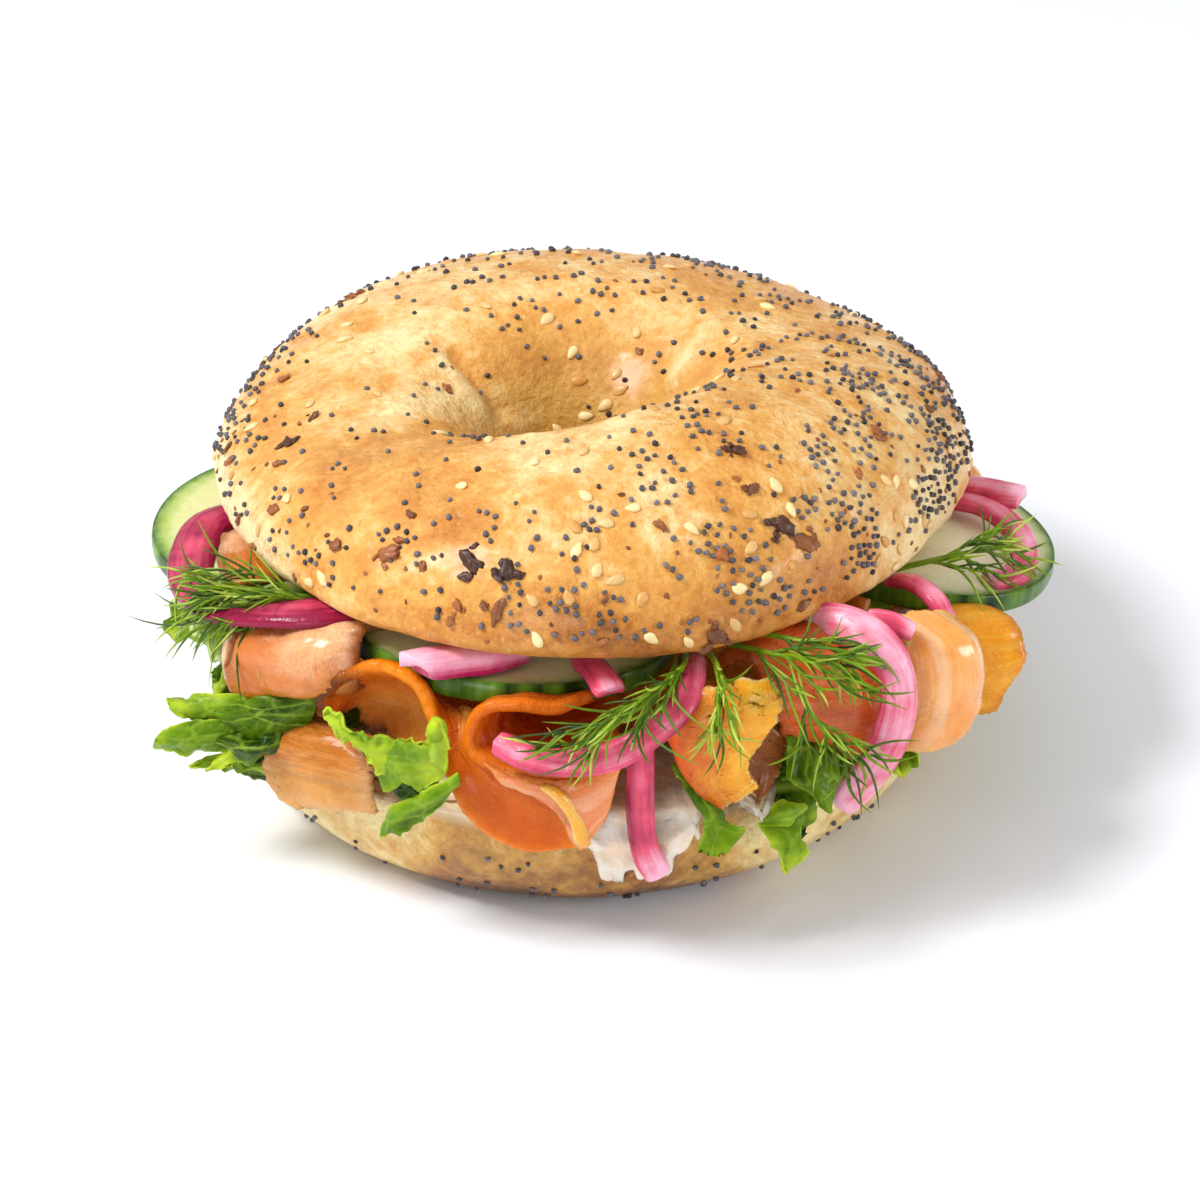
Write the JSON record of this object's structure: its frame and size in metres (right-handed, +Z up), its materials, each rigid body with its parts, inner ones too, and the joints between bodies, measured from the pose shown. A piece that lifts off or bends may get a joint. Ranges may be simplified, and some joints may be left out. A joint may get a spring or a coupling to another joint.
{
  "type": "bagel sandwich",
  "caption": "Seeded bagel sandwich cut in half and filled with smoked salmon, cucumber, pickled onion, lettuce, cream cheese and dill.",
  "frame": {"origin": "middle of the underside of the whole sandwich's box, on the surface that it rests on", "axes": "+Z up, the front that the picture shows looks along -Y, +X is to the right seen from the front"},
  "size_m": [0.1334, 0.1378, 0.0666],
  "materials": {
    "crust": "golden baked crust, mottled, slightly glossy",
    "base_crust": "pale baked crust, cream to tan",
    "sesame": "cream seed, some toasted",
    "poppy": "blue-grey to brown-purple seed",
    "flake": "dark roasted onion and garlic flake",
    "cucumber": "wet pale green flesh, dark green striped rind",
    "onion": "glossy translucent pink",
    "salmon": "glossy translucent orange with paler fat lines",
    "lettuce": "fresh green leaf with paler veins",
    "cream": "soft white, crumbly edge",
    "dill": "fine dark to bright green thread leaves"
  },
  "bodies": {
    "root": {"bagel_bottom": "base_crust", "bagel_top": "crust", "cucumber_left": "cucumber", "cucumber_front": "cucumber", "cucumber_right": "cucumber", "cucumber_back_right": "cucumber", "cucumber_back_left": "cucumber", "onion_left_arc": "onion", "onion_front_wedge": "onion", "onion_front_slip": "onion", "onion_centre_arc": "onion", "onion_hanging": "onion", "onion_right_arc": "onion", "onion_right_slip": "onion", "onion_right_chip": "onion", "onion_side_curl": "onion", "onion_side_chunk": "onion", "onion_back_arc": "onion", "onion_back_strip": "onion", "salmon_front_drape": "salmon", "salmon_front_curl": "salmon", "salmon_centre_fold": "salmon", "salmon_right_drape": "salmon", "salmon_right_fold": "salmon", "salmon_side_flap": "salmon", "salmon_left_roll": "salmon", "salmon_low_flap": "salmon", "salmon_left_scrap": "salmon", "salmon_back_drape": "salmon", "salmon_back_roll": "salmon", "salmon_back_fold": "salmon", "salmon_inner_front_left": "salmon", "salmon_inner_front_right": "salmon", "salmon_inner_back_right": "salmon", "salmon_inner_back_left": "salmon", "lettuce_left": "lettuce", "lettuce_left_behind": "lettuce", "lettuce_front_frill": "lettuce", "lettuce_front_stalk": "lettuce", "lettuce_front_right": "lettuce", "lettuce_right": "lettuce", "lettuce_side": "lettuce", "lettuce_back_right": "lettuce", "lettuce_back": "lettuce", "lettuce_back_left": "lettuce", "cream_cheese": "cream", "dill_left": "dill", "dill_centre": "dill", "dill_hanging": "dill", "dill_right": "dill", "dill_low": "dill", "dill_side": "dill", "dill_back": "dill"}
  },
  "joints": []
}
